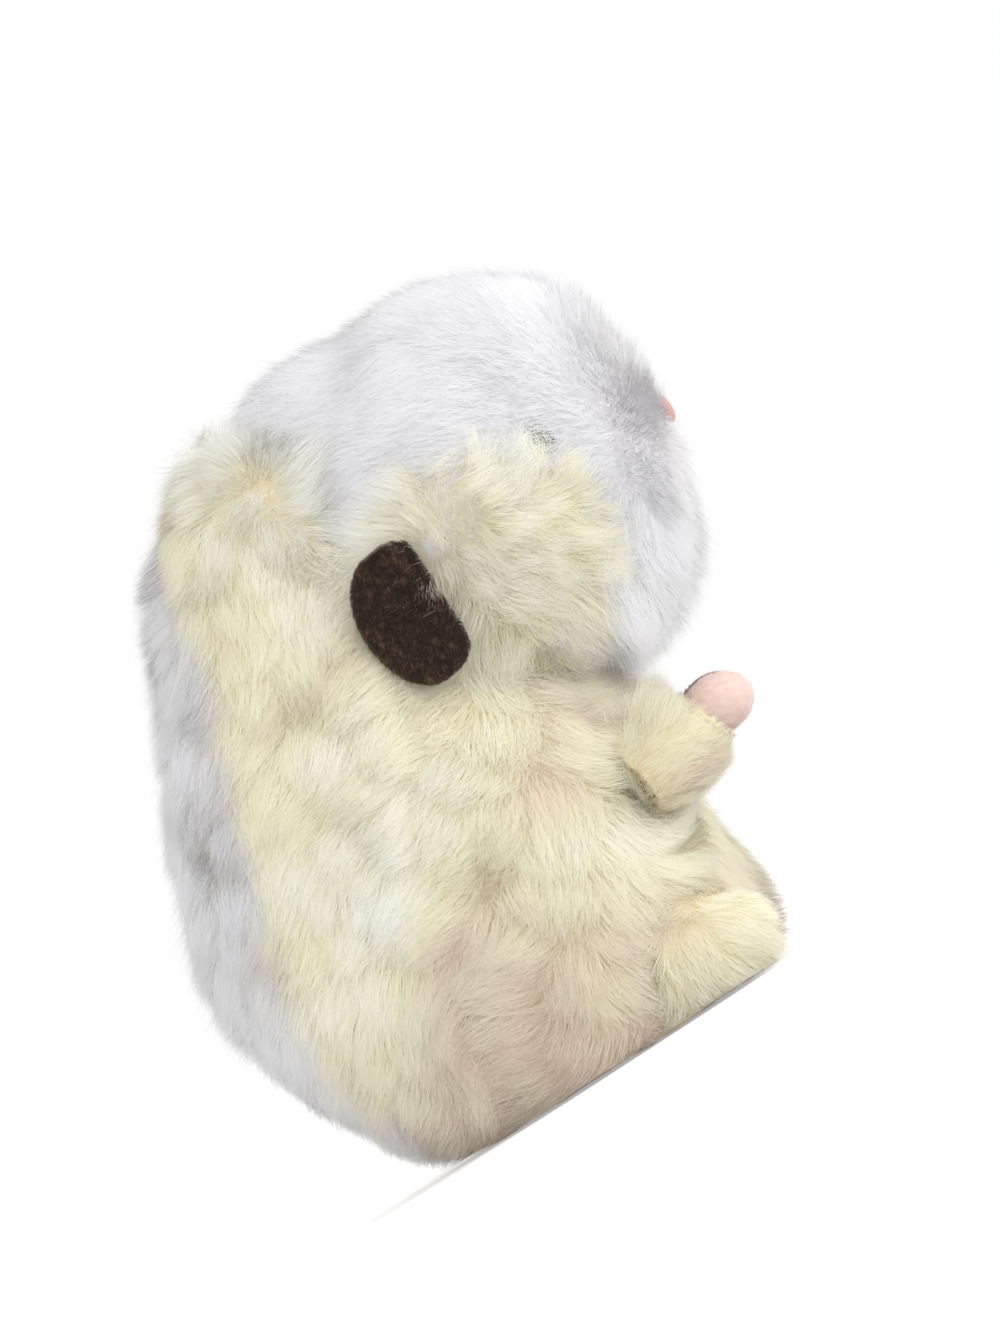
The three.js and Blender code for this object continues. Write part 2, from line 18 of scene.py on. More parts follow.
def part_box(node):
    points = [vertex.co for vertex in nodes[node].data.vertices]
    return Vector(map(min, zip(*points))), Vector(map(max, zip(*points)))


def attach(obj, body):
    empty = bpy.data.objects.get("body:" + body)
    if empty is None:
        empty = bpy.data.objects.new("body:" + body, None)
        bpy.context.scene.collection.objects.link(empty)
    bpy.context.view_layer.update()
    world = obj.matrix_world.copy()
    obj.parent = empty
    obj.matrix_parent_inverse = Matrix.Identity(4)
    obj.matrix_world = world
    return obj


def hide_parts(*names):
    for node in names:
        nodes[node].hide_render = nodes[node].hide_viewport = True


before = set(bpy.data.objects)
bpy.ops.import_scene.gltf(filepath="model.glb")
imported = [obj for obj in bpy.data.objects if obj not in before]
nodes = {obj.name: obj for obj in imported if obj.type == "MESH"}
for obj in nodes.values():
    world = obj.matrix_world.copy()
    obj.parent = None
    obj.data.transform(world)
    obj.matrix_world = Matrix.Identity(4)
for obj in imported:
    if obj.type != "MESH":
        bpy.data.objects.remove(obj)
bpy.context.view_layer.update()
SIDES = {"right": -1, "left": 1}

# %% [markdown]
# ## Camera
# The photograph looks square at the toy's right side, and its picture is turned: the base runs up to the
# right. A camera is a matrix whose columns are its right, its up and its back, so the roll is written
# straight into those columns. The lens is long and stands well off, which keeps the outline nearly flat.

# %% Camera
ROLL = math.radians(33)
FRAME_HEIGHT = 0.3533
DISTANCE = 4.0
SENSOR = 36
target = Vector((0, -0.0242, 0.1054))
right = Vector((0, -math.cos(ROLL), -math.sin(ROLL)))
up = Vector((0, -math.sin(ROLL), math.cos(ROLL)))
back = Vector((-1, 0, 0))
camera_data = bpy.data.cameras.new("camera")
camera_data.sensor_fit = "VERTICAL"
camera_data.sensor_height = SENSOR
camera_data.lens = SENSOR * DISTANCE / FRAME_HEIGHT
camera = bpy.data.objects.new("camera", camera_data)
bpy.context.scene.collection.objects.link(camera)
rolled = Matrix((right, up, back)).transposed().to_4x4()
camera.matrix_world = Matrix.Translation(target + back * DISTANCE) @ rolled
bpy.context.scene.camera = camera
print("lens", round(camera_data.lens, 1), "mm")

# %% [markdown]
# ## Shader maths
# Node maths reads best as sums. This small class holds an output socket, and adding or multiplying it
# makes the Math node. One method makes any other node: its settings go in first, then its sockets.

# %% Sockets that can be added, and the nodes that they belong to
class Value:
    def __init__(self, owner, socket):
        self.owner = owner
        self.socket = socket

    def maths(self, operation, first, second):
        return self.owner.node("ShaderNodeMath", {"operation": operation}, {0: first, 1: second})

    def __add__(self, other):
        return self.maths("ADD", self, other)

    __radd__ = __add__

    def __mul__(self, other):
        return self.maths("MULTIPLY", self, other)

    __rmul__ = __mul__

    def __pow__(self, other):
        return self.maths("POWER", self, other)


class Nodes:
    def __init__(self, tree):
        self.tree = tree

    def node(self, kind, settings=None, sockets=None, output=0):
        made = self.tree.nodes.new(kind)
        for name, value in (settings or {}).items():
            if name == "stops":
                self.set_stops(made.color_ramp, value)
            else:
                setattr(made, name, value)
        for name, value in (sockets or {}).items():
            self.join(made.inputs[name], value)
        return Value(self, made.outputs[output])

    def set_stops(self, ramp, stops):
        while len(ramp.elements) < len(stops):
            ramp.elements.new(0.5)
        for element, (place, colour) in zip(ramp.elements, stops):
            element.position = place
            element.color = (*colour, 1)

    def join(self, socket, value):
        if isinstance(value, Value):
            self.tree.links.new(value.socket, socket)
        else:
            socket.default_value = value

    def mix(self, factor, first, second):
        settings = {"data_type": "RGBA", "clamp_factor": True}
        return self.node("ShaderNodeMix", settings, {0: factor, 6: first, 7: second}, output=2)

    def noise(self, scale, detail=2.0):
        where = self.node("ShaderNodeTexCoord", output="Object")
        sockets = {"Vector": where, "Scale": scale, "Detail": detail, "Roughness": 0.5}
        return self.node("ShaderNodeTexNoise", None, sockets, output="Fac")


class Finish(Nodes):
    def __init__(self, name, **constants):
        self.material = bpy.data.materials.new(name)
        self.material.use_nodes = True
        super().__init__(self.material.node_tree)
        self.shader = self.tree.nodes["Principled BSDF"]
        for socket, value in constants.items():
            self.shader.inputs[socket.replace("_", " ")].default_value = value

    def feed(self, socket, value):
        self.join(self.shader.inputs[socket], value)


# %% [markdown]
# ## Floor and light
# The photograph has a plain white ground and light from all round, with a little more from the front and
# above. The world gives the even light, and three large soft lamps the rest: a key lamp from the toy's right,
# the strongest from its front, and a weak one from behind. What is seen of the world itself is plain white.

# %% World and lamps
WHITE = (1, 1, 1, 1)
EVEN_LIGHT = 0.74
SEEN_RAYS = ("Is Camera Ray", "Is Glossy Ray", "Is Transmission Ray")
bpy.context.scene.view_settings.view_transform = "Standard"
world = bpy.data.worlds.new("studio")
bpy.context.scene.world = world
world.use_nodes = True
studio = Nodes(world.node_tree)
sky = studio.tree.nodes["Background"]
sky.inputs["Color"].default_value = WHITE
sky.inputs["Strength"].default_value = EVEN_LIGHT
white_sky = studio.node("ShaderNodeBackground", None, {"Color": WHITE})
seen = sum(studio.node("ShaderNodeLightPath", output=ray) for ray in SEEN_RAYS)
choose = studio.node("ShaderNodeMixShader", None, {0: seen, 1: Value(studio, sky.outputs[0]), 2: white_sky})
studio.join(studio.tree.nodes["World Output"].inputs["Surface"], choose)


def soft_lamp(name, direction, distance, size, watts):
    """A round lamp that stands in a direction from the toy and looks at it."""
    lamp = bpy.data.lights.new(name, "AREA")
    lamp.shape = "DISK"
    lamp.size = size
    lamp.energy = watts
    holder = bpy.data.objects.new(name, lamp)
    bpy.context.scene.collection.objects.link(holder)
    aim = Vector(direction).normalized()
    turn = aim.to_track_quat("Z", "Y").to_matrix().to_4x4()
    holder.matrix_world = Matrix.Translation(target + aim * distance) @ turn
    print(name, "lamp", watts, "W")


soft_lamp("key", (-0.9, -0.3, 0.5), distance=1.2, size=0.9, watts=3.5)
soft_lamp("fill", (-0.25, -1.0, 0.45), distance=1.3, size=1.2, watts=6.5)
soft_lamp("rim", (-0.4, 1.0, 0.4), distance=1.3, size=1.0, watts=2.2)

# %% [markdown]
# The floor is a pale matt sheet that takes the toy's shadow. A plain grey sheet would show its far edge
# against the white world, so for camera rays it glows a little and its lit part becomes white too.

# %% Floor
FLOOR_HALF = 4
FLOOR_GREY = 0.93
FLOOR_GLOW = 0.4


def add_piece(name, bm, material, smooth=True):
    """A new object of the scene from a finished bmesh."""
    for face in bm.faces:
        face.smooth = smooth
    mesh = bpy.data.meshes.new(name)
    bm.to_mesh(mesh)
    bm.free()
    mesh.materials.append(material)
    piece = bpy.data.objects.new(name, mesh)
    bpy.context.scene.collection.objects.link(piece)
    return piece


paper = Finish("pale_floor", Base_Color=(FLOOR_GREY, FLOOR_GREY, FLOOR_GREY, 1), Roughness=0.9,
               Specular_IOR_Level=0.0, Emission_Strength=1.0)
camera_ray = paper.node("ShaderNodeLightPath", output="Is Camera Ray")
paper.feed("Emission Color", paper.mix(camera_ray, (0, 0, 0, 1), (FLOOR_GLOW, FLOOR_GLOW, FLOOR_GLOW, 1)))
bm = bmesh.new()
bmesh.ops.create_grid(bm, x_segments=1, y_segments=1, size=FLOOR_HALF)
floor = add_piece("floor", bm, paper.material, smooth=False)
print("floor", 2 * FLOOR_HALF, "m wide")

# %% [markdown]
# ## Finishes
# A fibre of plush is paler at its tip than at its root, and no two tufts have quite the same tone. Each
# strand that is grown below carries a map: across it runs the tone of its tuft, and along it the way from
# root to tip. Two ramps read the tone, one for roots and one for tips, and the way along mixes them. Real
# fibres are thin and let light by, so a strand's shadow is mostly clear.

# %% Pile and nap
SHADOW_CLEAR = 0.82


def srgb(red, green, blue):
    """A colour as a paint program names it, from 0 to 255, as the linear values that shaders use."""
    shares = (np.array((red, green, blue)) / 255.0).tolist()
    return tuple(c / 12.92 if c <= 0.04045 else ((c + 0.055) / 1.055) ** 2.4 for c in shares)


def tones(dark, middle, pale):
    return [(0.0, srgb(*dark)), (0.5, srgb(*middle)), (1.0, srgb(*pale))]


def pile_finish(name, roots, tips, fade, sheen=0.15):
    finish = Finish(name, Roughness=0.62, Specular_IOR_Level=0.25, Sheen_Weight=sheen, Sheen_Roughness=0.5)
    strand = finish.node("ShaderNodeUVMap", {"uv_map": "OFBake"})
    tone = finish.node("ShaderNodeSeparateXYZ", None, {0: strand}, "X")
    along = finish.node("ShaderNodeSeparateXYZ", None, {0: strand}, "Y")
    root = finish.node("ShaderNodeValToRGB", {"stops": roots}, {"Fac": tone})
    tip = finish.node("ShaderNodeValToRGB", {"stops": tips}, {"Fac": tone})
    finish.feed("Base Color", finish.mix(along ** fade, root, tip))
    let_through = finish.node("ShaderNodeLightPath", output="Is Shadow Ray") * SHADOW_CLEAR
    clear = finish.node("ShaderNodeBsdfTransparent")
    surface = Value(finish, finish.shader.outputs[0])
    fibre = finish.node("ShaderNodeMixShader", None, {0: let_through, 1: surface, 2: clear})
    finish.join(finish.tree.nodes["Material Output"].inputs["Surface"], fibre)
    return finish.material


cream_pile = pile_finish(
    "cream_pile",
    roots=tones((228, 205, 184), (246, 238, 197), (252, 249, 230)),
    tips=tones((237, 222, 206), (252, 250, 230), (255, 255, 252)),
    fade=0.85,
)
white_pile = pile_finish(
    "white_pile",
    roots=tones((228, 225, 225), (237, 236, 237), (245, 245, 247)),
    tips=tones((238, 236, 236), (246, 246, 248), (252, 252, 254)),
    fade=0.6,
)
cheek_pile = pile_finish(
    "cheek_pile",
    roots=tones((228, 214, 164), (242, 235, 192), (249, 245, 220)),
    tips=tones((240, 234, 200), (252, 250, 234), (255, 255, 252)),
    fade=1.1,
)
brown_nap = pile_finish(
    "brown_nap",
    roots=tones((30, 20, 13), (43, 29, 19), (58, 41, 28)),
    tips=tones((40, 27, 17), (66, 46, 31), (116, 90, 68)),
    fade=0.9,
    sheen=0.03,
)
pink_nap = pile_finish(
    "pink_nap",
    roots=tones((232, 198, 188), (242, 216, 207), (247, 226, 218)),
    tips=tones((241, 213, 204), (249, 231, 224), (254, 243, 238)),
    fade=0.8,
)
print("pile and nap", len(bpy.data.materials))

# %% [markdown]
# The backing cloth hardly shows between the strands: a worn colour and a fine weave do. The eyes are glossy
# black plastic. The nose is embroidered, so waves across it stand for its threads, in colour and in relief.

# %% Cloth, plastic and thread
WEAR_SCALE = 90.0
FUR_WEAVE, NAP_WEAVE = 900.0, 1200.0
WEAVE_DEPTH = 0.0003
THREADS = 420.0
THREAD_DEPTH = 0.0004


def cloth_finish(name, colour, shade, weave):
    finish = Finish(name, Roughness=0.9, Specular_IOR_Level=0.15, Sheen_Weight=0.2)
    worn = finish.noise(WEAR_SCALE, 3.0)
    finish.feed("Base Color", finish.mix(worn, (*shade, 1), (*colour, 1)))
    relief = {"Strength": 0.25, "Distance": WEAVE_DEPTH, "Height": finish.noise(weave)}
    finish.feed("Normal", finish.node("ShaderNodeBump", None, relief, "Normal"))
    return finish.material


cream_cloth = cloth_finish("cream_cloth", srgb(246, 236, 206), srgb(236, 220, 184), FUR_WEAVE)
white_cloth = cloth_finish("white_cloth", srgb(240, 239, 242), srgb(230, 228, 233), FUR_WEAVE)
brown_cloth = cloth_finish("brown_cloth", srgb(44, 30, 20), srgb(32, 21, 14), NAP_WEAVE)
pink_cloth = cloth_finish("pink_cloth", srgb(244, 220, 211), srgb(238, 208, 199), NAP_WEAVE)

eye_finish = Finish("eye_plastic", Roughness=0.08, Coat_Weight=0.6)
speck = eye_finish.noise(160.0)
eye_finish.feed("Base Color", eye_finish.mix(speck, (0.004, 0.003, 0.003, 1), (0.012, 0.008, 0.007, 1)))

thread = Finish("nose_thread", Roughness=0.45, Sheen_Weight=0.3)
where = thread.node("ShaderNodeTexCoord", output="Object")
waves = {"Vector": where, "Scale": THREADS, "Distortion": 1.2}
stitches = thread.node("ShaderNodeTexWave", {"bands_direction": "X"}, waves)
thread.feed("Base Color", thread.mix(stitches, (*srgb(205, 140, 132), 1), (*srgb(232, 172, 164), 1)))
ridges = {"Strength": 0.6, "Distance": THREAD_DEPTH, "Height": stitches}
thread.feed("Normal", thread.node("ShaderNodeBump", None, ridges, "Normal"))
print("finishes", len(bpy.data.materials))

# %% [markdown]
# ## Stuffed skins
# Under the pile is the backing cloth, drawn tight over the filling. It could be modelled ring by ring, but
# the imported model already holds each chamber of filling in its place. A voxel remesh turns such a solid
# into an even skin, smoothing takes off its facets, and a small push along the normals takes it from the
# solid's face to the cloth. First come the helpers: a random ripple for the lumps, ramps, and distances.

# %% Ripples, ramps and distances
WAVES = 6
WAVE_SUM = 3.5


def ripple(at, scale, seed):
    """A smooth pattern of dips and swells, mostly between -1 and 1: a few waves in random directions."""
    waves = np.random.default_rng(seed)
    total = np.zeros(len(at))
    for _ in range(WAVES):
        direction = waves.normal(size=3)
        direction *= (2 * np.pi / scale) * waves.uniform(0.7, 1.4) / np.linalg.norm(direction)
        total += np.sin(at @ direction + waves.uniform(0, 2 * np.pi))
    return total / WAVE_SUM


def rise(values, start, over, least=0.0):
    """A ramp from its least up to 1, which begins at a start and takes so long a way."""
    return np.clip((values - start) / over, least, 1)


def near(away, over, margin=0.0):
    """1 close by and 0 far off, falling over a distance. A margin moves the fall out, in shares of it."""
    return np.clip(1 + margin - away / over, 0, 1)


def tree_of(obj):
    mesh = obj.data
    return BVHTree.FromPolygons([v.co for v in mesh.vertices], [p.vertices for p in mesh.polygons])


def close_to(places, obj, reach):
    """The numbers of the places that are inside an object's box, grown by a reach."""
    corners = np.array([v.co for v in obj.data.vertices])
    inside = (places > corners.min(axis=0) - reach) & (places < corners.max(axis=0) + reach)
    return np.flatnonzero(inside.all(axis=1))


def nearest(places, objects, reach):
    """The nearest spot on any of the objects to each place, and how far off it is, up to a reach."""
    spot, away = places.copy(), np.full(len(places), reach)
    for obj in objects:
        tree = tree_of(obj)
        for i in close_to(places, obj, reach):
            found = tree.find_nearest(places[i], away[i])
            if found[0] is not None:
                spot[i], away[i] = found[0], found[3]
    return spot, away


# %% [markdown]
# A remesh can leave small shells inside, so only the largest is kept. Next to a neighbour the push fades
# out: there the cloth stays at the solid's face, and the seam between the two pieces stays closed.

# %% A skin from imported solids
LUMP_WIDTH = 0.045
SEAM_REACH = 0.012
SEAM_FADE = (0.001, 0.008)
GROUND_LIFT = 0.0006


def even_shell(name, solids, voxel):
    """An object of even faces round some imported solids."""
    bm = bmesh.new()
    for solid in solids:
        bm.from_mesh(nodes[solid].data)
    bmesh.ops.remove_doubles(bm, verts=bm.verts, dist=1e-6)
    rough = bpy.data.meshes.new(name + "_rough")
    bm.to_mesh(rough)
    bm.free()
    piece = bpy.data.objects.new(name, rough)
    bpy.context.scene.collection.objects.link(piece)
    remesh = piece.modifiers.new("even", "REMESH")
    remesh.mode = "VOXEL"
    remesh.voxel_size = voxel
    remesh.use_smooth_shade = True
    even = bpy.data.meshes.new_from_object(piece.evaluated_get(bpy.context.evaluated_depsgraph_get()))
    piece.modifiers.clear()
    piece.data = even
    even.name = name
    return piece


def keep_largest(bm):
    """Leave only the largest connected shell."""
    left, shells = set(bm.verts), []
    while left:
        shell, edge = set(), [left.pop()]
        while edge:
            vert = edge.pop()
            shell.add(vert)
            for link in vert.link_edges:
                other = link.other_vert(vert)
                if other in left:
                    left.remove(other)
                    edge.append(other)
        shells.append(shell)
    shells.sort(key=len)
    bmesh.ops.delete(bm, geom=[v for shell in shells[:-1] for v in shell], context="VERTS")


def stuffed_skin(name, body, solids, voxel, rounds, push, lump, cloth, beside=()):
    """The cloth of one chamber, which rides on a body and is as soft as its filling."""
    piece = even_shell(name, solids, voxel)
    bm = bmesh.new()
    bm.from_mesh(piece.data)
    keep_largest(bm)
    for _ in range(rounds):
        bmesh.ops.smooth_vert(
            bm, verts=bm.verts, factor=0.5, use_axis_x=True, use_axis_y=True, use_axis_z=True)
    bm.normal_update()
    places = np.array([v.co for v in bm.verts])
    away = nearest(places, [nodes[solid] for solid in beside], SEAM_REACH)[1]
    moves = (push + lump * ripple(places, LUMP_WIDTH, 2)) * rise(away, *SEAM_FADE)
    for vert, move in zip(bm.verts, moves):
        vert.co += vert.normal * move
        vert.co.z = max(vert.co.z, GROUND_LIFT)
    for face in bm.faces:
        face.smooth = True
    bm.to_mesh(piece.data)
    bm.free()
    piece.data.materials.clear()
    piece.data.materials.append(cloth)
    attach(piece, body)
    return piece


# %% [markdown]
# The torso and the head are one chamber each under several panels of plush. Each arm and each leg is a chamber
# of its own. The same recipe serves the ears and the paws, whose solids are the pieces themselves.

# %% Skins of the chambers
TORSO_PANELS = ["flank_right", "flank_left", "back_gusset", "belly_panel", "base_panel"]
HEAD_PANELS = ["crown_panel", "muzzle_panel", "cheek_right", "cheek_left"]
LIMBS = [f"{limb}_{side}" for limb in ("arm", "leg") for side in SIDES]
PILE_DEPTH = 0.0026
LIMB_PILE_DEPTH = 0.0022
NAP_DEPTH = 0.0007
PAW_SWELL = 0.0003
torso_solids = ["torso_filling", *TORSO_PANELS]
head_solids = ["head_filling", *HEAD_PANELS]
skins = {
    "torso": stuffed_skin(
        "torso_skin", "torso", torso_solids, voxel=0.003, rounds=5, push=-PILE_DEPTH, lump=0.0008,
        cloth=cream_cloth, beside=LIMBS + HEAD_PANELS),
    "head": stuffed_skin(
        "head_skin", "head", head_solids, voxel=0.003, rounds=6, push=-PILE_DEPTH, lump=0.0006,
        cloth=white_cloth, beside=TORSO_PANELS),
}
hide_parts(*torso_solids)
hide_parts(*head_solids, "eye_washer_right", "eye_washer_left")
for side in SIDES:
    for limb in ("arm", "leg"):
        solids = [f"{limb}_{side}", f"{limb}_filling_{side}"]
        skins[f"{limb}_{side}"] = stuffed_skin(
            f"{limb}_skin_{side}", f"{side}_{limb}", solids, voxel=0.0016, rounds=4, push=-LIMB_PILE_DEPTH,
            lump=0, cloth=cream_cloth, beside=TORSO_PANELS)
        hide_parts(*solids)
    layers = [f"ear_{side}_outer", f"ear_{side}_inner"]
    skins["ear_" + side] = stuffed_skin(
        "ear_" + side, side + "_ear", layers, voxel=0.0008, rounds=6, push=-NAP_DEPTH, lump=0,
        cloth=brown_cloth)
    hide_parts(*layers)
    skins["paw_" + side] = stuffed_skin(
        "paw_skin_" + side, side + "_arm", ["paw_" + side], voxel=0.0007, rounds=8, push=PAW_SWELL, lump=0,
        cloth=pink_cloth)
    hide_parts("paw_" + side)
print({name: len(skin.data.vertices) for name, skin in skins.items()})

# %% [markdown]
# An ear isn't flat: its rim is rolled where the two layers are turned and sewn, and its face is dished. A
# bell curve over the ear's own length and width moves the outer face in at the middle and out at the rim.

# %% Dished ears
HOLLOW_DEPTH = 0.0016
RIM_ROLL = 0.0006
HOLLOW_ACROSS, HOLLOW_DOWN, HOLLOW_WIDTH = 0.45, 0.58, 0.30


def box_of(node):
    low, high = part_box(node)
    return np.array(low), np.array(high)


for side, sign in SIDES.items():
    low, high = box_of(f"ear_{side}_outer")
    for vert in skins["ear_" + side].data.vertices:
        across = (vert.co.y - low[1]) / (high[1] - low[1])
        down = (high[2] - vert.co.z) / (high[2] - low[2])
        outer = max(vert.normal.x * sign, 0)
        off = ((across - HOLLOW_ACROSS) / HOLLOW_WIDTH) ** 2 + ((down - HOLLOW_DOWN) / HOLLOW_WIDTH) ** 2
        hollow = math.exp(-off)
        vert.co.x -= sign * HOLLOW_DEPTH * hollow * outer
        vert.co.x += sign * RIM_ROLL * (1 - hollow) * outer
print("ears dished by", HOLLOW_DEPTH)

# %% [markdown]
# The nose is stitched to the muzzle, and there the cloth comes up to its pad.

# %% Muzzle under the nose
NOSE_SWELL = 0.0014
NOSE_SWELL_WIDTH = 0.010


def centre_of(node):
    low, high = box_of(node)
    return (low + high) / 2


nose_at = centre_of("nose")
for vert in skins["head"].data.vertices:
    off = np.linalg.norm(np.array(vert.co) - nose_at)
    vert.co += vert.normal * NOSE_SWELL * math.exp(-((off / NOSE_SWELL_WIDTH) ** 2))
print("muzzle raised round the nose at", [round(v, 4) for v in nose_at])

# %% [markdown]
# ## Growing pile
# Hair particles look right but aren't a mesh, and the toy has to leave Blender as meshes. So each strand is
# a thin blade, a four-cornered face with a pointed tip: it leaves the cloth, leans over the way the pile is
# brushed, and draws together with its neighbours into a tuft. Thousands of them are worked out at once with
# arrays, because no mesh operator bends each copy of a shape its own way. First come the roots.

# %% Where strands are rooted
rng = np.random.default_rng(20)
THIN = 1.0
MM2_PER_M2 = 1e6
PANEL_REACH = 0.03


def unit(vectors):
    return vectors / np.maximum(np.linalg.norm(vectors, axis=-1, keepdims=True), 1e-9)


def rows_of(items, field, kind):
    """One field of all of a mesh's items, three numbers to a row."""
    numbers = np.empty(len(items) * 3, dtype=kind)
    items.foreach_get(field, numbers)
    return numbers.reshape(-1, 3)


def scatter(skin, per_mm2):
    """Random places on a skin with the normals there."""
    mesh = skin.data
    mesh.calc_loop_triangles()
    corners = rows_of(mesh.loop_triangles, "vertices", np.int32)
    points = rows_of(mesh.vertices, "co", float)
    facing = rows_of(mesh.vertices, "normal", float)
    a, b, c = (points[corners[:, k]] for k in range(3))
    area = np.linalg.norm(np.cross(b - a, c - a), axis=1) / 2
    count = int(area.sum() * MM2_PER_M2 * per_mm2 * THIN)
    chosen = rng.choice(len(area), size=count, p=area / area.sum())
    share = np.sort(rng.random((count, 2)), axis=1)
    share = np.stack([share[:, 0], share[:, 1] - share[:, 0], 1 - share[:, 1]], axis=1)
    at = (points[corners[chosen]] * share[:, :, None]).sum(axis=1)
    out = unit((facing[corners[chosen]] * share[:, :, None]).sum(axis=1))
    return at, out


def room_above(at, out, others, reach):
    """How far each strand could rise before it meets one of the other skins."""
    room = np.full(len(at), reach)
    for other in others:
        tree = tree_of(other)
        for i in close_to(at, other, reach):
            hit = tree.ray_cast(at[i], out[i], reach)
            if hit[3] is not None and hit[3] < room[i]:
                room[i] = hit[3]
    return room


def panel_of(at, panels, blur):
    """The number of the panel of plush that each place belongs to, with slightly uneven seams."""
    shifted = at + rng.normal(0, blur, at.shape)
    away = np.stack([nearest(shifted, [nodes[panel]], PANEL_REACH)[1] for panel in panels])
    return away.argmin(axis=0)


# %% [markdown]
# A strand is a line through three places: its root, its middle and its tip. It starts out fairly straight and
# leans over more towards its tip. A few strands stay loose and stand straighter, which makes the soft edge of
# the toy. The others draw together twice, into wide locks and into the small tufts within them.

# %% Lines of the strands
STEPS = np.array([0.0, 0.5, 1.0])
LENGTHS = (0.75, 1.12)
LEAN_SPREAD = 0.13
LOOSE_SHARE, LOOSE_LEAN, LOOSE_HOLD = 0.12, 0.8, 0.2
ROOT_LEAN, TIP_LEAN = 0.7, 1.3
ROOT_SWAY, TIP_SWAY = 0.5, 1.2
KINK_ACROSS, KINK_OUT = 0.06, 0.04
SPACING_TRIES = 300
STRAY = 0.14
GATHERED, GATHER_POWER = 0.8, 1.5
PRESSED, PRESSED_UNEVEN = 0.0004, 0.0006


def leaning(out, brush, angle):
    return out * np.cos(angle)[:, None] + brush * np.sin(angle)[:, None]


def strand_lines(at, out, brush, length, lean, sway):
    """Root, middle and tip of each strand, and whether it is a loose one."""
    count = len(at)
    brush = unit(brush - out * (brush * out).sum(axis=1, keepdims=True))
    across = np.cross(brush, out)
    length = length * rng.uniform(*LENGTHS, count)
    lean = lean + rng.normal(0, LEAN_SPREAD, count)
    free = rng.random(count) < LOOSE_SHARE
    lean = np.where(free, lean * LOOSE_LEAN, lean)
    sideways = rng.normal(0, sway, count)[:, None] * across
    start = unit(leaning(out, brush, lean * ROOT_LEAN) + ROOT_SWAY * sideways)
    end = unit(leaning(out, brush, lean * TIP_LEAN) + TIP_SWAY * sideways)
    s = STEPS[None, :, None]
    way = start[:, None] * s + (end - start)[:, None] * s**2 / 2
    line = at[:, None] + way * length[:, None, None]
    kink = across * rng.normal(0, KINK_ACROSS, count)[:, None]
    kink = kink + out * rng.normal(0, KINK_OUT, count)[:, None]
    line[:, 1] += kink * length[:, None]
    return line, free


def tufts(at, members):
    """For each root, the root that leads its tuft of about so many strands."""
    count = max(int(len(at) / max(members * THIN, 1)), 1)
    leaders = rng.choice(len(at), size=count, replace=False)
    tree = KDTree(count)
    for number, leader in enumerate(leaders):
        tree.insert(at[leader], number)
    tree.balance()
    tries = at[:: max(len(at) // SPACING_TRIES, 1)]
    spacing = np.median([tree.find(place)[2] for place in tries])
    loosely = at + rng.normal(0, STRAY * spacing, at.shape)
    return leaders[np.array([tree.find(place)[1] for place in loosely])]


def drawn_together(line, at, leader, grip):
    """Bend each strand towards the leader of its tuft, more so nearer the tip."""
    s = STEPS[None, :, None]
    goal = line[leader] + (at - at[leader])[:, None] * (1 - GATHERED * s**GATHER_POWER)
    return line + (goal - line) * grip * s


def above_ground(line, at):
    """Press the strands under the toy flat on the ground, slightly unevenly."""
    uneven = PRESSED_UNEVEN * (1 + ripple(at, 0.016, 9))[:, None]
    low = PRESSED + PRESSED_UNEVEN * rng.random(len(at))[:, None] + uneven
    line[:, :, 2] = np.maximum(line[:, :, 2], low)
    return line


# %% [markdown]
# A blade that shows its back renders dark. So each blade turns its face to the light and a little to the side
# of the toy that it grows on, and is shaded with the normal of the cloth below it: the pile takes the light as
# one soft whole. A lock is painted darker at its edge, a painted shade where it folds under the next one.

# %% Blades and their tones
TAPER = np.array([1.0, 0.85])
ACROSS_TOY = np.array([1, 0, 0])
SHADE_TILT, SHADE_TILT_WIDTH = 0.25, 0.02
FACE_TILT, FACE_TILT_WIDTH = 0.45, 0.012
FACE_TURN = 0.25
WIDTHS = (0.7, 1.3)
LOCK_EDGE_PERCENT, LOCK_MIDDLE = 90, 0.6
OWN_SPECKLE = 0.03
TONE_RANGE = (0.02, 0.98)


def blade_points(line, at, out, light, width):
    """The five corners of each blade: two at the root, two at the middle and the tip."""
    count = len(at)
    along = unit(np.gradient(line, axis=1))
    outside = np.clip(at[:, :1] / FACE_TILT_WIDTH, -1, 1)
    towards = light + FACE_TILT * outside * np.clip(1 + 1.5 * out[:, :1] * outside, 0, 1) * ACROSS_TOY
    face = unit(np.cross(along, towards[:, None]))
    turn = rng.normal(0, FACE_TURN, count)[:, None, None]
    face = unit(face * np.cos(turn) + np.cross(along, face) * np.sin(turn))
    breadth = width * THIN**-0.5 * rng.uniform(*WIDTHS, count)
    half = face[:, :2] * TAPER[None, :, None] * (breadth / 2)[:, None, None]
    points = np.empty((count, 5, 3))
    points[:, 0:4:2] = line[:, :2] - half
    points[:, 1:4:2] = line[:, :2] + half
    points[:, 4] = line[:, 2]
    return points


def strand_tones(at, lock_leader, tuft_leader, tone, speckle, painted_edge_shade):
    """The tone of each strand from 0 to 1: its own, its tuft's, its lock's, and painted shade at the lock's
    edge, where it folds under the next one.
    """
    count = len(at)
    edge = np.linalg.norm(at - at[lock_leader], axis=1)
    edge = edge / np.percentile(edge, LOCK_EDGE_PERCENT) - LOCK_MIDDLE
    by_lock = rng.normal(0, speckle[0], count)[lock_leader]
    by_tuft = rng.normal(0, speckle[1], count)[tuft_leader]
    # The lock's edge is darkened: painted shade where it folds under the next one.
    uneven = by_lock + by_tuft - painted_edge_shade * edge
    return np.clip(0.5 + tone + uneven + rng.normal(0, OWN_SPECKLE, count), *TONE_RANGE)


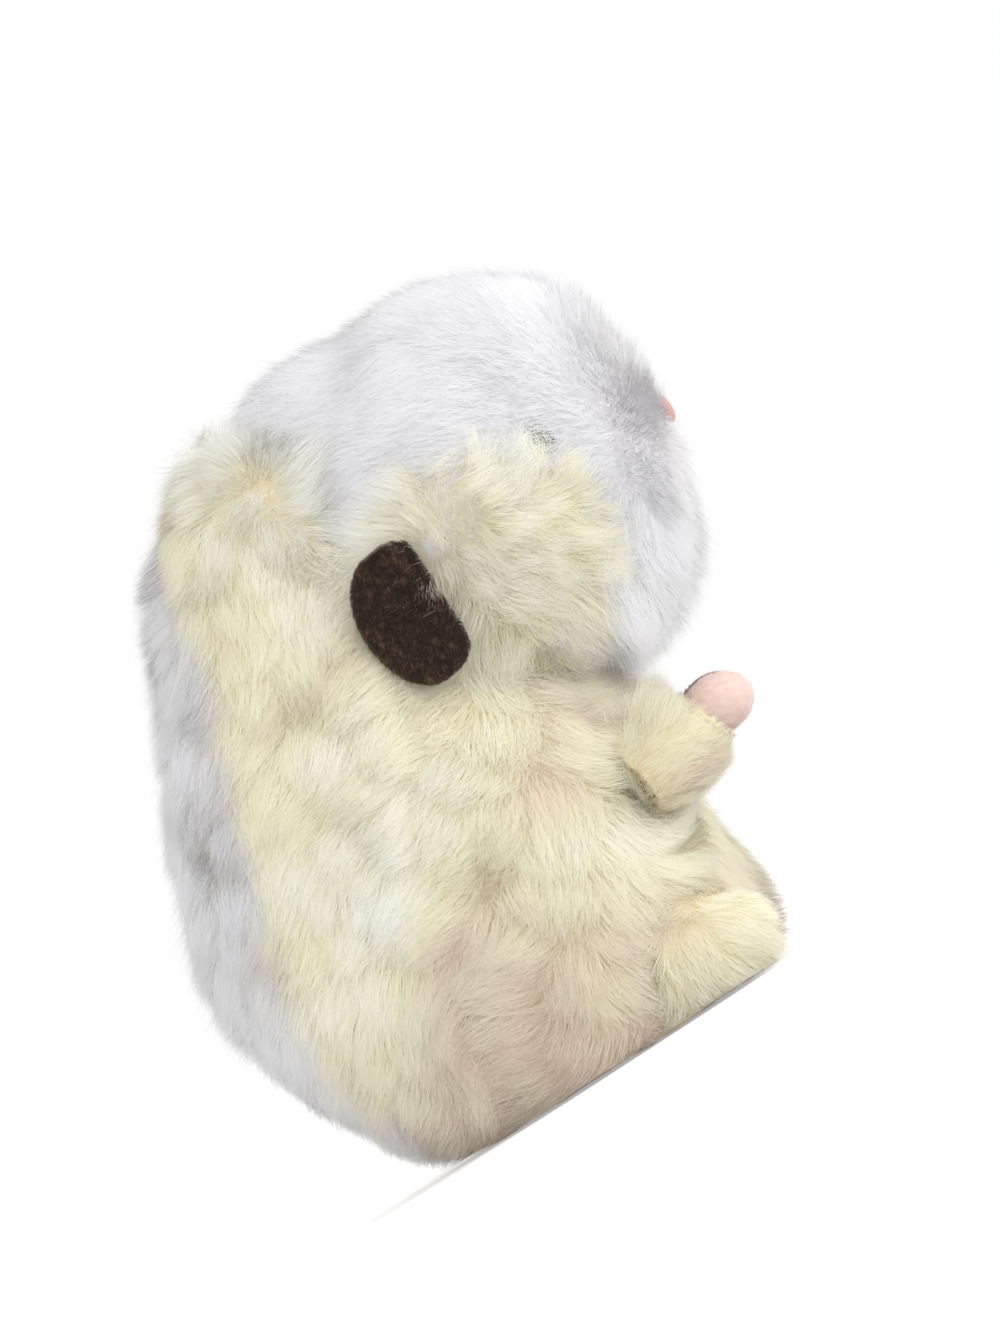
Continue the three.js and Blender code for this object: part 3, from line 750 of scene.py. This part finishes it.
# %% [markdown]
# All the strands of a panel become one mesh, or a few where there are too many for one. Its map holds the
# tone and the way from root to tip, which the finishes read.

# %% Sheets of pile
SHEET_STRANDS = 60000
BLADE_CORNERS = np.array([0, 1, 3, 2, 2, 3, 4])
MAP_HALF_WIDTH = 0.002


def blades(name, body, finish, points, light, shade):
    """One mesh of all the strands: a four-cornered face and a point to each."""
    count = len(points)
    strands = np.arange(count)[:, None]
    mesh = bpy.data.meshes.new(name)
    mesh.vertices.add(count * 5)
    mesh.vertices.foreach_set("co", points.ravel())
    mesh.loops.add(count * 7)
    mesh.loops.foreach_set("vertex_index", (strands * 5 + BLADE_CORNERS).ravel())
    mesh.polygons.add(count * 2)
    mesh.polygons.foreach_set("loop_start", (strands * 7 + np.array([0, 4])).ravel())
    mesh.update(calc_edges=True)
    mesh.polygons.foreach_set("use_smooth", np.ones(count * 2, dtype=bool))
    strand_map = np.zeros((count, 5, 2))
    strand_map[:, 0:4:2, 0] = shade[:, None] - MAP_HALF_WIDTH
    strand_map[:, 1:4:2, 0] = shade[:, None] + MAP_HALF_WIDTH
    strand_map[:, 4, 0] = shade
    strand_map[:, 0:4, 1] = np.repeat(STEPS[:2], 2)[None]
    strand_map[:, 4, 1] = 1.0
    mesh.uv_layers.new(name="OFBake").data.foreach_set("uv", strand_map[:, BLADE_CORNERS].ravel())
    normals = np.repeat(light[:, None], 5, axis=1).reshape(-1, 3)
    mesh.normals_split_custom_set_from_vertices(normals.tolist())
    mesh.materials.append(finish)
    piece = bpy.data.objects.new(name, mesh)
    bpy.context.scene.collection.objects.link(piece)
    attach(piece, body)
    print(name, count, "strands", count * 3, "triangles")


def grow(name, body, finish, at, out, brush, length, lean, tone, lock=900, tuft=25, pull=(0.3, 0.2),
         sway=0.28, width=0.0001, speckle=(0.06, 0.04), painted_edge_shade=0.11, light=None):
    """Pile on some roots. Lock and tuft are counts of strands, and pull says how strongly they draw together."""
    line, free = strand_lines(at, out, brush, length, lean, sway)
    lock_leader, tuft_leader = tufts(at, lock), tufts(at, tuft)
    hold = np.where(free, LOOSE_HOLD, 1.0)[:, None, None]
    line = drawn_together(line, at, lock_leader, pull[0] * hold)
    line = drawn_together(line, at, tuft_leader, pull[1] * hold)
    line = above_ground(line, at)
    light = out if light is None else light
    light = unit(light + SHADE_TILT * np.clip(at[:, :1] / SHADE_TILT_WIDTH, -1, 1) * ACROSS_TOY)
    points = blade_points(line, at, out, light, width)
    shade = strand_tones(at, lock_leader, tuft_leader, tone, speckle, painted_edge_shade)
    sheets = np.array_split(np.argsort(-at[:, 2]), math.ceil(len(at) / SHEET_STRANDS))
    for number, rows in enumerate(sheets, 1):
        part = name if len(sheets) == 1 else f"{name}_{number}"
        blades(part, body, finish, points[rows], light[rows], shade[rows])


# %% [markdown]
# ## Pile of the torso
# Where the head or a limb rests on the torso there is no room, and nothing grows. Each region below, such as
# the neck, is a ramp from 0 to 1: its numbers say where it starts, over how long a way it comes in and what it
# is at least. A depth is a height read downwards, so it is negative, and forward is read along -Y.

# %% Regions of the torso
DENSITY = 5.4
PILE_REACH = 0.014
LEAST_ROOM = 0.0016
SEAM_BLUR = 0.0025
EAR_GAP, NEIGHBOUR_GAP = (0.001, 0.0125, 0.08), (0.0008, 0.010, 0.25)
NEIGHBOUR_REACH = 0.022
LIMB_SEAM, HEAD_SEAM, BACK_SEAM = (0.017, 0.3), (0.012, 0.3), (0.015, 0.0)
GROOVE = 0.009
NECK_HEIGHT = (0.142, 0.015)
THROAT_HEIGHT, THROAT_FORWARD = (0.062, 0.02), (0.034, 0.012)
BACK_TURN_HEIGHT, BACK_TURN_WAY = 0.075, 0.05
at, out = scatter(skins["torso"], DENSITY)
limbs = [skins[name] for name in LIMBS]
room = room_above(at, out, [skins["head"], *limbs], PILE_REACH)
ear_room = room_above(at, out, [skins["ear_" + side] for side in SIDES], PILE_REACH)
open_to_air = room > LEAST_ROOM
at, out, room, ear_room = at[open_to_air], out[open_to_air], room[open_to_air], ear_room[open_to_air]
panel = panel_of(at, TORSO_PANELS, SEAM_BLUR)
flat = rise(ear_room, *EAR_GAP)
short = rise(room, *NEIGHBOUR_GAP)
limb_spot, limb_away = nearest(at, limbs, NEIGHBOUR_REACH)
head_spot, head_away = nearest(at, [skins["head"]], NEIGHBOUR_REACH)
by_limb = near(limb_away, *LIMB_SEAM)
by_head = near(head_away, *HEAD_SEAM) * rise(at[:, 2], *NECK_HEIGHT)
groove = near(room, GROOVE) * (by_limb > 0)
throat = rise(at[:, 2], *THROAT_HEIGHT) * rise(-at[:, 1], *THROAT_FORWARD)
gusset_away = nearest(at, [nodes["back_gusset"]], 0.016)[1]
turned = np.clip((at[:, 2] - BACK_TURN_HEIGHT) / BACK_TURN_WAY, -0.4, 0.7)
by_back = near(gusset_away, *BACK_SEAM) * turned * (panel < 2)
print("roots on the torso", {name: int((panel == number).sum()) for number, name in enumerate(TORSO_PANELS)})

# %% [markdown]
# The flanks are brushed back and down, and the back and the belly down. Round a limb the pile lies over the
# seam, next to the head it turns towards the head in a soft lobe, and under an ear it lies flat. A pale slanting
# streak across the flank is a painted sheen, and painted shade makes the pile darker and pinkish near the base.
# The lobe at the nape is painted paler, painted light against the head's shade, and the white back is painted a
# little darker, as painted shade.

# %% Torso pile
NAPE_HEIGHT, NAPE_FORWARD = (0.152, 0.02), (-0.022, 0.015)
BASE_SHADE_DEPTH = (-0.060, 0.055)
TORSO_PILE = {
    "flank_right": (cream_pile, 0.0150, 1.08, (0, 0.7, -0.7), "cream_fur"),
    "flank_left": (cream_pile, 0.0150, 1.08, (0, 0.7, -0.7), "cream_fur"),
    "back_gusset": (white_pile, 0.0150, 0.92, (0, 0.1, -1), "white_fur"),
    "belly_panel": (cream_pile, 0.0140, 0.92, (0, 0.0, -1), "cream_fur"),
    "base_panel": (cream_pile, 0.004, 1.0, (0, 1, 0), "cream_fur"),
}
to_limb = unit((limb_spot - at) * np.array([0.15, 1, 1])) + np.array([0, 0, -0.3])
to_head = unit(head_spot - at)
sideways_up = unit(at * np.array([50, 0, 0]) + np.array([0, 0, 0.7]))
light = unit(out + (0.5 * by_limb + 1.5 * by_head)[:, None] * sideways_up)


def swirl(at, scales, seeds):
    """Three ripples as a direction that wanders over the cloth."""
    return np.stack([ripple(at, scale, seed) for scale, seed in zip(scales, seeds)], axis=1)


def painted_sheen_streak(here):
    # A painted sheen: a pale slanting streak across the flank.
    along, across = here[:, 1] - here[:, 2], here[:, 1] + here[:, 2]
    return np.exp(-(((along + 0.05) / 0.09) ** 2) - ((across - 0.105) / 0.022) ** 2)


def torso_brush(name, heading, here, mine):
    """The way that each strand of a panel is brushed, and how much the pile is mixed up there."""
    limb, head, mixing = by_limb[mine][:, None], by_head[mine][:, None], 4 * (by_head * (1 - by_head))[mine]
    waves = swirl(here, (0.07, 0.06, 0.08), (3, 4, 7))
    curls = swirl(here, (0.022, 0.025, 0.024), (10, 11, 12))
    brush = np.array(heading) + 0.5 * waves + (0.25 + mixing[:, None]) * curls
    if name == "back_gusset":
        brush = brush + np.array([8, 0, 0]) * here
    brush = brush - by_back[mine][:, None] * np.array([0, 0.4, 0.2])
    brush = brush * (1 - limb) + 1.2 * limb * to_limb[mine]
    brush = brush * (1 - 0.6 * head) + 0.9 * head * to_head[mine]
    return brush, mixing


def torso_tone(name, here, nape):
    # Painted shade: the pile turns darker and pinkish towards the base.
    low = rise(-here[:, 2], *BASE_SHADE_DEPTH)
    patches = 0.13 * ripple(here, 0.075, 6) + 0.17 * ripple(here, 0.028, 8) + 0.06 * ripple(here, 0.012, 18)
    # The streak is a painted sheen, and the nape lobe is painted paler, painted light against the head's shade.
    tone = patches * (1 - 0.5 * low) + 0.25 * painted_sheen_streak(here) - 0.5 * low + 0.55 * nape
    # The white back is painted a little darker, as painted shade.
    return tone - 0.2 * (name == "back_gusset")


for number, name in enumerate(TORSO_PANELS):
    finish, length, tilt, heading, slot = TORSO_PILE[name]
    mine = panel == number
    here, seam = at[mine], groove[mine]
    outwards = np.sign(here[:, :1]) * ACROSS_TOY - np.array([0, 0.5, 0])
    facing = unit(out[mine] + 1.6 * seam[:, None] * outwards)
    nape = rise(here[:, 2], *NAPE_HEIGHT) * rise(-here[:, 1], *NAPE_FORWARD)
    brush, mixing = torso_brush(name, heading, here, mine)
    stands_up = 0.35 * nape + 0.25 * mixing + 0.15 * by_limb[mine] + 0.45 * throat[mine] + 0.4 * seam
    lean = tilt + 0.2 * ripple(here, 0.035, 5) - stands_up
    lean = np.maximum(lean, np.arccos(np.clip(flat[mine] * 0.95, 0, 1)))
    reach = length * np.maximum.reduce([short, by_head, 0.85 * by_limb])[mine]
    reach = reach * (1 - 0.15 * by_back + 0.35 * by_head)[mine]
    reach = reach + 0.004 * throat[mine] * (name != "base_panel")
    grow("pile_" + name, "torso", finish, here, facing, brush, reach, lean, lock=1000, pull=(0.42, 0.22),
         painted_edge_shade=0.16, tone=torso_tone(name, here, nape), light=light[mine])

# %% [markdown]
# ## Pile of the head
# The white pile runs from the nose over the brow and round under the chin, where it is longer. It is trimmed
# short round the nose and hardly at all round the eyes, which it nearly hides. Near the nose and under the chin
# it is painted greyer, as painted shade.

# %% Regions of the head
CHIN_DEPTH, CHIN_FORWARD = (-0.125, 0.022), (0.044, 0.010)
HEAD_LEAST_ROOM = 0.0022
HEAD_SEAM_BLUR = 0.0014
FRONT = (-0.045, 0.03)
NOSE_TRIM, EYE_TRIM, TORSO_TRIM = (0.0035, 0.005, 0.2), (0, 0.004, 0.85), (0.0012, 0.010, 0.2)
at, out = scatter(skins["head"], DENSITY)
room = room_above(at, out, [skins["torso"]], PILE_REACH)
open_to_air = room > HEAD_LEAST_ROOM
at, out, room = at[open_to_air], out[open_to_air], room[open_to_air]
panel = panel_of(at, HEAD_PANELS, HEAD_SEAM_BLUR)
from_nose = np.linalg.norm(at - nose_at, axis=1)
eyes_at = [centre_of("eye_" + side) for side in SIDES]
from_eye = np.min([np.linalg.norm(at - eye, axis=1) for eye in eyes_at], axis=0)
chin = rise(-at[:, 2], *CHIN_DEPTH) * rise(-at[:, 1], *CHIN_FORWARD)
front = rise(-from_nose, *FRONT)
trim = rise(from_nose, *NOSE_TRIM) * rise(from_eye, *EYE_TRIM)
trim *= np.maximum(rise(room, *TORSO_TRIM), chin)
print("roots on the head", {name: int((panel == number).sum()) for number, name in enumerate(HEAD_PANELS)})

# %% [markdown]
# Each cheek is a puff: its pile is the longest, stands up more and runs out from a whorl. Next to the ear it
# is swept back over the ear's front edge. The face is smooth, so its pile draws together much less.

# %% Head pile
WHORL_OUT = 0.05
WHORL_WIDTH = 0.024
CHEEK_HALF = 0.026
EAR_SEAM = (0.012, 0.2)
BROW_BACK = (-0.030, 0.025)
NOSE_RING, NOSE_RING_WIDTH = 0.010, 0.004
HEAD_PILE = {
    "crown_panel": (white_pile, 0.0115, 0.98, "white_fur"),
    "muzzle_panel": (white_pile, 0.0095, 1.02, "white_fur"),
    "cheek_right": (cheek_pile, 0.0165, 0.5, "cheek_fur"),
    "cheek_left": (cheek_pile, 0.0165, 0.5, "cheek_fur"),
}
CHIN_LONGER = 0.007


def grow_cheek(name, finish, here, facing, waves, reach, tilt):
    side = name.split("_")[1]
    whorl = centre_of(name)
    whorl[0] = SIDES[side] * WHORL_OUT
    off = here - whorl
    spread = rise(np.linalg.norm(off[:, 1:], axis=1), 0, WHORL_WIDTH)
    by_ear = near(nearest(here, [skins["ear_" + side]], 0.02)[1], *EAR_SEAM)
    curls = swirl(here, (0.014, 0.016, 0.014), (51, 52, 53))
    brush = unit(off) * spread[:, None] + np.array([0, -0.3, -0.6]) * (1.1 - spread)[:, None]
    brush = brush + 0.5 * waves + 0.75 * curls + 1.2 * by_ear[:, None] * np.array([0, 1, -0.2])
    lean = tilt + 0.35 * spread + 0.18 * ripple(here, 0.02, 16) - 0.35 * by_ear
    reach = reach * (1 - 0.28 * rise(-off[:, 1], 0, CHEEK_HALF))
    reach = reach * (1 + 0.3 * rise(off[:, 1], 0, CHEEK_HALF) - 0.3 * by_ear)
    # The upper part of each cheek is painted paler: painted light from above.
    tone = 0.16 * ripple(here, 0.025, 17) + 0.05 + 0.3 * rise(off[:, 2], 0, 0.02)
    grow("pile_" + name, "head", finish, here, facing, brush, reach, lean, lock=190, pull=(0.55, 0.22),
         sway=0.48, tone=tone, painted_edge_shade=0.24)


def grow_face(name, finish, here, facing, waves, reach, tilt, mine):
    under, ahead = chin[mine], front[mine]
    behind = rise(here[:, 1], *BROW_BACK)[:, None]
    brush = unit(here - nose_at) - under[:, None] * np.array([0, 0.8, 0.5])
    brush = brush + behind * np.array([0, 0.4, -1.2]) + 0.25 * waves
    beside_nose = np.exp(-(((from_nose[mine] - NOSE_RING) / NOSE_RING_WIDTH) ** 2))
    lean = tilt + 0.1 * ripple(here, 0.035, 16) - 0.6 * under - 0.15 * ahead - 0.3 * beside_nose
    light = unit(facing + np.maximum(under, ahead)[:, None] * np.array([0, -0.4, 0.7]))
    # Painted shade: the pile is greyer near the nose and under the chin.
    tone = 0.06 * ripple(here, 0.03, 17) - 0.3 * ahead - 0.1 * under
    grow("pile_" + name, "head", finish, here, facing, brush, reach, lean, pull=(0.18, 0.15), tone=tone,
         light=light)


for number, name in enumerate(HEAD_PANELS):
    finish, length, tilt, slot = HEAD_PILE[name]
    mine = panel == number
    here, facing = at[mine], out[mine]
    waves = swirl(here, (0.04, 0.05, 0.04), (13, 14, 15))
    reach = (length + CHIN_LONGER * chin[mine]) * trim[mine]
    if name.startswith("cheek"):
        grow_cheek(name, finish, here, facing, waves, reach, tilt)
    else:
        grow_face(name, finish, here, facing, waves, reach, tilt, mine)

# %% [markdown]
# ## Pile of the arms and legs
# The sleeves are brushed towards the paws and the legs towards the toes. Their pile is shorter. Next to the
# torso it stands out and lies back over the seam, at a paw it is trimmed, and on top of a sleeve it is longer.

# %% Limb pile
LIMB_PILE = {"arm": (0.0090, (0, -1, 0.0), -0.15), "leg": (0.0100, (0, -0.3, -0.9), 0.0)}
LIMB_REACH = 0.012
LIMB_LEAST_ROOM = 0.0008
LEAST_HEIGHT = 0.0015
TOP_LONGER = 0.008
TORSO_REACH = 0.015
BY_TORSO, LIES_BACK = (0.012, 0.15), (0.008, 0.6)
PAW_TRIM, LIMB_TRIM = (0.0005, 0.008, 0.4), (0.0006, 0.008, 0.25)


def grow_limb(kind, side, length, heading, paleness):
    at, out = scatter(skins[f"{kind}_{side}"], DENSITY)
    room = room_above(at, out, [skins["torso"], skins["paw_" + side]], LIMB_REACH)
    open_to_air = (room > LIMB_LEAST_ROOM) & (at[:, 2] > LEAST_HEIGHT)
    at, out, room = at[open_to_air], out[open_to_air], room[open_to_air]
    away = nearest(at, [skins["torso"]], TORSO_REACH)[1]
    from_paw = nearest(at, [skins["paw_" + side]], LIMB_REACH)[1]
    by_torso, by_seam = near(away, *BY_TORSO), near(away, *LIES_BACK)
    brush = np.array(heading) * (1 - by_seam)[:, None] + by_seam[:, None] * np.array([0, 1.0, -0.2])
    brush = brush + 0.25 * swirl(at, (0.03, 0.03, 0.03), (21, 22, 23))
    light = unit(out + 0.5 * by_torso[:, None] * np.array([SIDES[side], 0, 0.3]))
    out = unit(out + by_torso[:, None] * np.array([SIDES[side], -0.3, 0]))
    trimmed = rise(from_paw, *PAW_TRIM)
    top = np.clip(out[:, 2], 0, 1) * trimmed * (kind == "arm")
    trimmed_too = np.maximum(rise(room, *LIMB_TRIM), 0.75 * by_torso)
    reach = (length + TOP_LONGER * top) * trimmed_too * trimmed
    lean = 1.0 - 0.6 * by_torso + 0.5 * by_seam - 0.45 * top * (1 - by_torso)
    grow(f"pile_{kind}_{side}", f"{side}_{kind}", cream_pile, at, out, brush, reach, lean, lock=300,
         tone=0.12 * ripple(at, 0.04, 24) + paleness, light=light)


for side in SIDES:
    for kind, facts in LIMB_PILE.items():
        grow_limb(kind, side, *facts)

# %% [markdown]
# ## Nap of the ears and paws
# Short nap is the same thing on a smaller scale: dense blades about a millimetre long, brushed down the ear
# and in small patches this way and that, which gives the cloth its mottled look. The ear is painted paler
# towards its rim, a painted sheen where the rolled rim catches the light.

# %% Short nap
EAR_DENSITY, PAW_DENSITY = 12.0, 10.0
EAR_NAP, PAW_NAP = 0.0016, 0.0012
STREAK_WIDTH = 0.0022
for side in SIDES:
    at, out = scatter(skins["ear_" + side], EAR_DENSITY)
    brush = np.array([0, 0.5, -1.0]) + 0.8 * swirl(at, (0.012, 0.010, 0.012), (31, 32, 33))
    streaks = ripple(at * np.array([1, 1, 0.35]), STREAK_WIDTH, 34)
    low, high = box_of(f"ear_{side}_outer")
    from_middle = np.linalg.norm(((at - (low + high) / 2) / (high - low))[:, 1:] * 2, axis=1)
    # The tone that rises from the middle towards the rim is a painted sheen.
    grow("nap_ear_" + side, side + "_ear", brown_nap, at, out, brush, EAR_NAP, 0.9 + 0.25 * streaks,
         lock=50, tuft=10, width=0.00012, tone=0.1 * streaks + 0.2 * from_middle - 0.16, speckle=(0.1, 0.13))
    at, out = scatter(skins["paw_" + side], PAW_DENSITY)
    brush = np.array([0, -1.0, -0.2]) + 0.3 * swirl(at, (0.01, 0.01, 0.01), (41, 42, 43))
    grow("nap_paw_" + side, side + "_arm", pink_nap, at, out, brush, PAW_NAP, 0.95, lock=40, tuft=8,
         width=0.00015, tone=0.12 * ripple(at, 0.012, 44))

# %% [markdown]
# ## Eyes
# Each eye is a moulded dome with a flat back on a stem. Half its profile is spun round the axis that the
# packed eye stands on, so the dome is truly round. It is sunk a little, because the pile nearly covers it.

# %% Eyes
DOME_HEIGHT, DOME_RADIUS = 0.004, 0.005
FOOT_RADIUS, FOOT_HEIGHT = 0.0046, -0.0004
STEM_RADIUS, STEM_END = 0.0016, -0.007
SUNK = 0.0016


def eye_facing(side):
    """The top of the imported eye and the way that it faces, from its stem to its dome."""
    points = np.array([v.co for v in nodes["eye_" + side].data.vertices])
    longest = np.linalg.svd(points - points.mean(axis=0))[2][0]
    axis = Vector(longest * np.sign(longest[0] * SIDES[side]))
    height = points @ np.array(axis)
    return Vector(points[height > height.max() - 1e-5].mean(axis=0)), axis


for side in SIDES:
    top, facing = eye_facing(side)
    bm = bmesh.new()
    turns = np.linspace(math.pi / 2, 0, 12)
    outline = [(DOME_RADIUS * math.cos(t), 0, DOME_HEIGHT * math.sin(t)) for t in turns]
    outline += [(FOOT_RADIUS, 0, FOOT_HEIGHT), (STEM_RADIUS, 0, FOOT_HEIGHT)]
    outline += [(STEM_RADIUS, 0, STEM_END), (0, 0, STEM_END)]
    profile = [bm.verts.new(place) for place in outline]
    for first, second in zip(profile, profile[1:]):
        bm.edges.new((first, second))
    bmesh.ops.spin(bm, geom=bm.verts[:] + bm.edges[:], axis=(0, 0, 1), cent=(0, 0, 0), angle=2 * math.pi,
                   steps=40, use_merge=True)
    bmesh.ops.remove_doubles(bm, verts=bm.verts, dist=1e-6)
    bmesh.ops.recalc_face_normals(bm, faces=bm.faces)
    turn = facing.to_track_quat("Z", "Y").to_matrix().to_4x4()
    seat = top - facing * (DOME_HEIGHT + SUNK)
    bmesh.ops.transform(bm, matrix=Matrix.Translation(seat) @ turn, verts=bm.verts)
    eye = add_piece("eye_dome_" + side, bm, eye_finish.material)
    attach(eye, "head")
    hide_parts("eye_" + side)
    print("eye", side, [round(v, 4) for v in seat])

# %% [markdown]
# ## Nose
# The nose is a small satin-stitched pad, rounded at the top and drawn to a point below. A ball flattened to
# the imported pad's box and pinched towards its foot has that shape; the stitches are ridges in its finish.

# %% Nose
FOOT_WIDTH = 0.35
PAD_GROWTH = np.array((1.05, 1.5, 1.05))
PAD_BACK = np.array((0, 0.0004, 0))
low, high = box_of("nose")
bm = bmesh.new()
bmesh.ops.create_uvsphere(bm, u_segments=32, v_segments=16, radius=1)
for vert in bm.verts:
    vert.co.x *= FOOT_WIDTH + (1 - FOOT_WIDTH) * min(1.0, (vert.co.z + 1) / 1.1)
bmesh.ops.scale(bm, vec=(high - low) / 2 * PAD_GROWTH, verts=bm.verts)
bmesh.ops.translate(bm, vec=(low + high) / 2 + PAD_BACK, verts=bm.verts)
nose = add_piece("nose_pad", bm, thread.material)
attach(nose, "head")
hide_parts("nose")
print("nose", [round(v, 4) for v in high - low])
